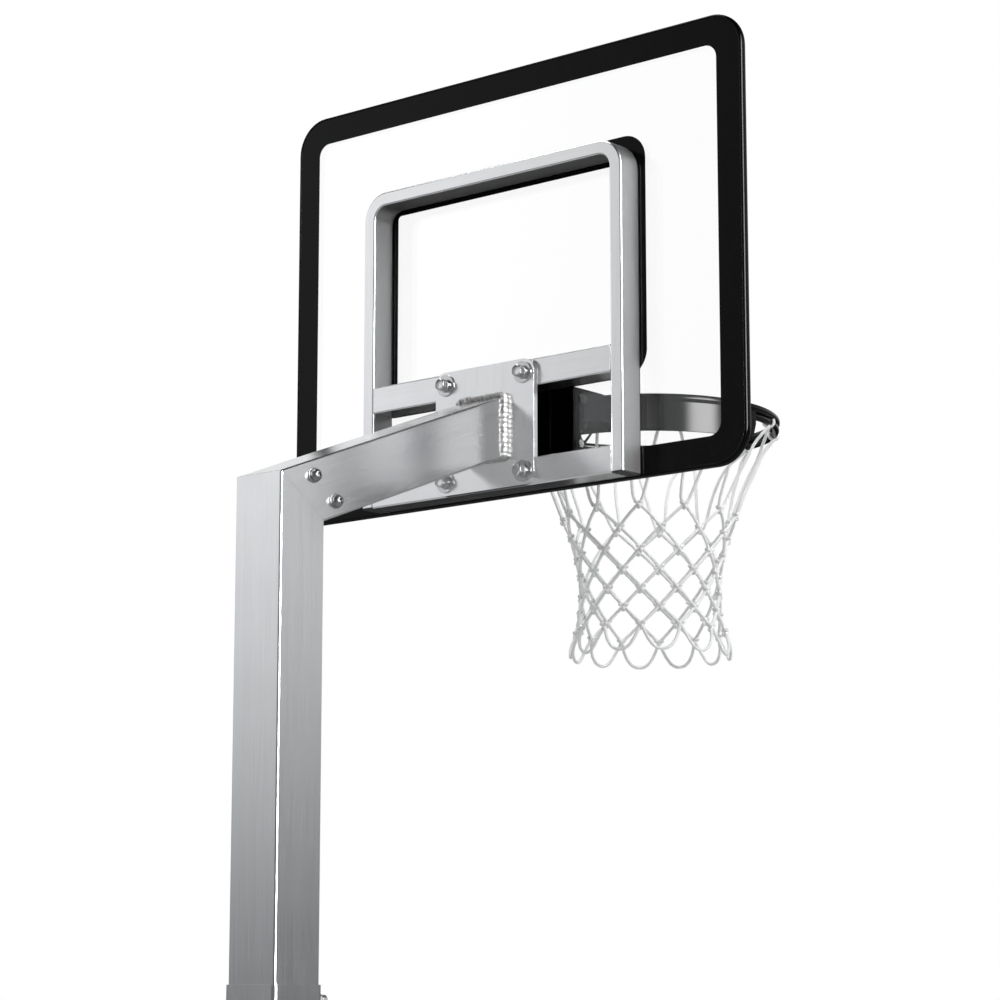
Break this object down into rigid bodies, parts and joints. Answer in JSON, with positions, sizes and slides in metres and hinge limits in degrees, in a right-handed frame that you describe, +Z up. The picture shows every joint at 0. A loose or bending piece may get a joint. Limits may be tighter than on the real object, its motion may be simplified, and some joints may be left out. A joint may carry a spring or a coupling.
{
  "type": "poolside basketball hoop",
  "caption": "Poolside basketball hoop: clear framed backboard on a square mitred post and arm in a deck anchor sleeve, with a spring breakaway double ring rim and net",
  "frame": {"origin": "centre of the deck plate's underside, on the post's axis", "axes": "+Z up; the backboard faces -Y and stands over the water in front of the post; +X to the right seen from the water"},
  "size_m": [1.0156, 1.3754, 1.8238],
  "materials": {
    "brushed_aluminium": "long grain brushed along each tube",
    "zinc_fasteners": "bright zinc plate",
    "spring_steel": "oiled spring steel",
    "black_powder_coat": "gloss black powder coat",
    "black_film": "gloss black film on the sheet",
    "black_rubber": "matte black rubber",
    "clear_acrylic": "clear polished acrylic",
    "white_cord": "braided white nylon cord"
  },
  "bodies": {
    "anchor": {"deck_plate": "brushed_aluminium", "anchor_bolt_1": "zinc_fasteners", "anchor_bolt_2": "zinc_fasteners", "anchor_bolt_3": "zinc_fasteners", "anchor_bolt_4": "zinc_fasteners", "anchor_sleeve": "brushed_aluminium", "set_bolt_left": "zinc_fasteners", "set_bolt_right": "zinc_fasteners", "sleeve_weld": "brushed_aluminium"},
    "mast": {"post": "brushed_aluminium", "arm": "brushed_aluminium", "elbow_splice": "brushed_aluminium", "arm_bolt_upper": "zinc_fasteners", "arm_nut_upper": "zinc_fasteners", "arm_bolt_lower": "zinc_fasteners", "arm_nut_lower": "zinc_fasteners", "mount_plate": "brushed_aluminium", "plate_bolt_1": "zinc_fasteners", "plate_nut_1": "zinc_fasteners", "plate_bolt_2": "zinc_fasteners", "plate_nut_2": "zinc_fasteners", "plate_bolt_3": "zinc_fasteners", "plate_nut_3": "zinc_fasteners", "plate_bolt_4": "zinc_fasteners", "plate_nut_4": "zinc_fasteners", "arm_weld": "brushed_aluminium", "board_frame": "brushed_aluminium", "frame_gasket": "black_rubber", "leg_plug_left": "black_rubber", "leg_plug_right": "black_rubber", "lower_crossbar": "brushed_aluminium", "upper_crossbar": "brushed_aluminium", "backboard_sheet": "clear_acrylic", "backboard_border": "black_film", "target_band": "black_film", "board_screw_1": "zinc_fasteners", "board_screw_2": "zinc_fasteners", "board_screw_3": "zinc_fasteners", "board_screw_4": "zinc_fasteners", "rim_backing_plate": "black_powder_coat", "rim_bolt_1": "black_powder_coat", "rim_bolt_2": "black_powder_coat", "rim_bolt_3": "black_powder_coat", "rim_bolt_4": "black_powder_coat", "rim_bracket": "black_powder_coat", "stop_bumper_left": "black_rubber", "stop_bumper_right": "black_rubber", "hinge_pin": "zinc_fasteners", "spring_anchor_bolt": "zinc_fasteners", "spring_foot": "black_powder_coat", "rim_spring_left": "spring_steel", "rim_spring_right": "spring_steel"},
    "rim": {"rim_carriage": "black_powder_coat", "ring_upper": "black_powder_coat", "ring_lower": "black_powder_coat", "ring_band": "black_powder_coat", "net": "white_cord"}
  },
  "joints": [
    {"name": "post_lift", "type": "slide", "parent": "anchor", "child": "mast", "axis": [0, 0, 1], "range_m": [0, 0.18]},
    {"name": "rim_breakaway", "type": "hinge", "parent": "mast", "child": "rim", "pos_m": [0, -0.605, 1.208], "axis": [1, 0, 0], "range_deg": [0, 25], "stiffness_Nm_per_rad": 150, "springref_deg": -28.65, "deforming": ["rim_spring_left", "rim_spring_right"]}
  ]
}
